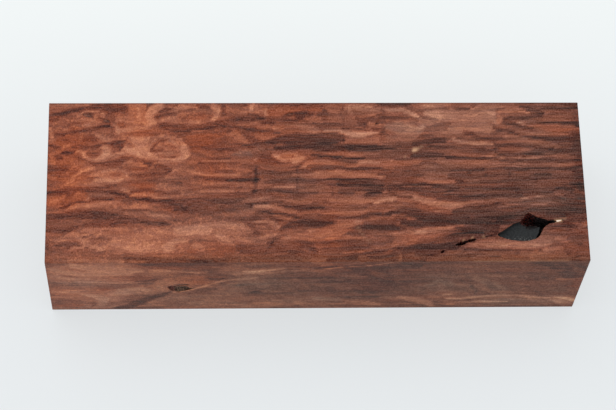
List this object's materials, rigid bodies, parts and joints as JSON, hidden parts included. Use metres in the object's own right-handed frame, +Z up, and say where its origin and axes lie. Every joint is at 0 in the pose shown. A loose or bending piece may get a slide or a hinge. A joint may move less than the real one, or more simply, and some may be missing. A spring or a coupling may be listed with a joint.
{
  "type": "stabilized redwood burl block",
  "caption": "Squared block of resin-stabilized redwood burl with natural bark pockets, a blank for cutting knife handles, pens and small turnings.",
  "frame": {"origin": "middle of the bottom face, which the block rests on", "axes": "+X along the grain and the longest side, +Z up through the thickness, -Y towards the long side with the small bark pocket"},
  "size_m": [0.13, 0.0426, 0.0295],
  "materials": {
    "burl_wood": "sanded satin, resin-filled"
  },
  "bodies": {
    "root": {"burl_block": "burl_wood"}
  },
  "joints": []
}
